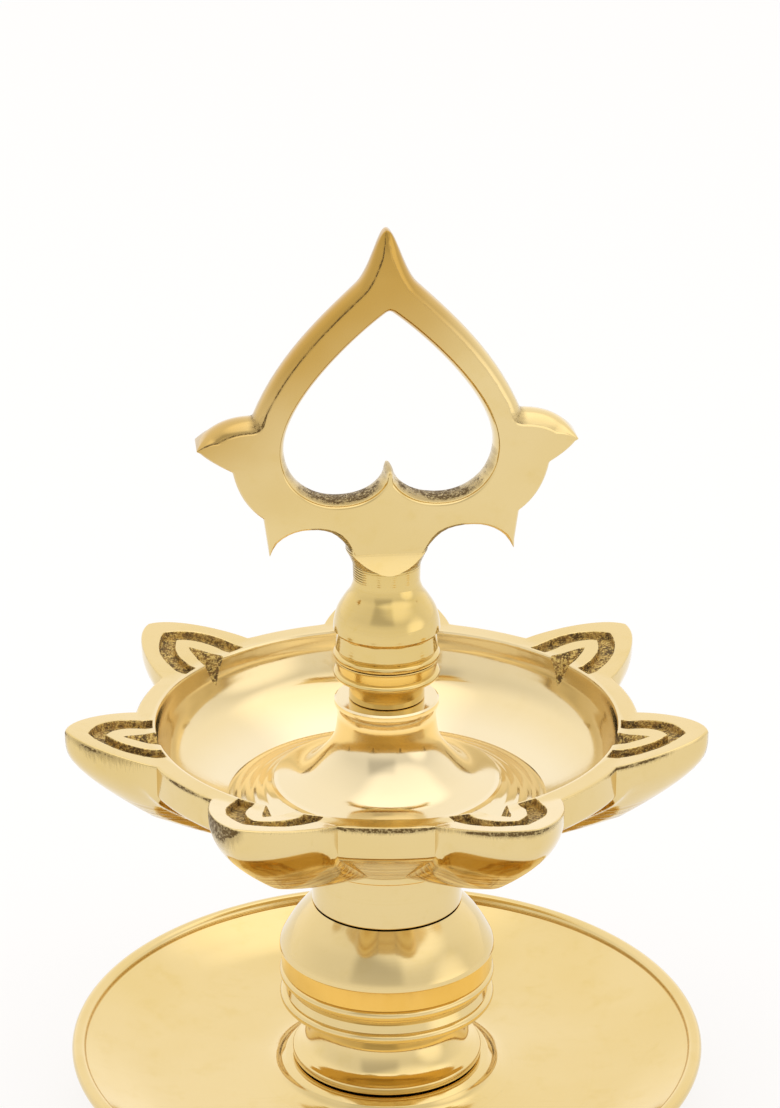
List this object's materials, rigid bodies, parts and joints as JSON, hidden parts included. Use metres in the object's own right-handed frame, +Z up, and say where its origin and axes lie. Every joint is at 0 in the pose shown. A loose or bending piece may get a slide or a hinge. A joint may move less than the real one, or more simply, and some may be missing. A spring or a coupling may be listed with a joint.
{
  "type": "hanging oil lamp",
  "caption": "Brass devotional oil lamp: bowl with pointed wick spouts, heart-shaped hanging loop, turned stem and drip dish on a foot ring.",
  "frame": {"origin": "centre of the foot ring's standing face, under the middle of the lamp", "axes": "+Z up the lamp's axis to the tip of the loop, -Y towards the front of the picture, +X to its right"},
  "size_m": [0.15, 0.15, 0.218],
  "materials": {
    "cast_brass": "cast, turned and polished, with rough dark casting left in the grooves",
    "turned_brass": "turned and polished, with fine feed marks",
    "stud_brass": "cut thread",
    "zinc_steel": "zinc-plated"
  },
  "bodies": {
    "base": {"drip_dish": "cast_brass", "lower_stem": "turned_brass", "base_stud": "zinc_steel", "base_washer": "zinc_steel", "base_nut": "zinc_steel"},
    "ring": {"stem_ring": "turned_brass"},
    "bowl": {"lamp_bowl": "cast_brass", "bowl_stud": "stud_brass"},
    "collar": {"beaded_collar": "turned_brass"},
    "loop": {"heart_loop": "cast_brass", "loop_stud": "stud_brass"}
  },
  "joints": [
    {"name": "bowl_lift", "type": "slide", "parent": "base", "child": "ring", "axis": [0, 0, 1], "range_m": [0, 0.0133]},
    {"name": "bowl_unscrew", "type": "hinge", "parent": "ring", "child": "bowl", "pos_m": [0, 0, 0.0686], "axis": [0, 0, 1], "range_deg": [0, 2160]},
    {"name": "loop_lift", "type": "slide", "parent": "bowl", "child": "collar", "axis": [0, 0, 1], "range_m": [0, 0.0109]},
    {"name": "loop_unscrew", "type": "hinge", "parent": "collar", "child": "loop", "pos_m": [0, 0, 0.1176], "axis": [0, 0, 1], "range_deg": [0, 2160]}
  ],
  "couplings": [
    {"joint": "bowl_lift", "follows": "bowl_unscrew", "m_per_rad": 0.00035014},
    {"joint": "loop_lift", "follows": "loop_unscrew", "m_per_rad": 0.00028648}
  ]
}
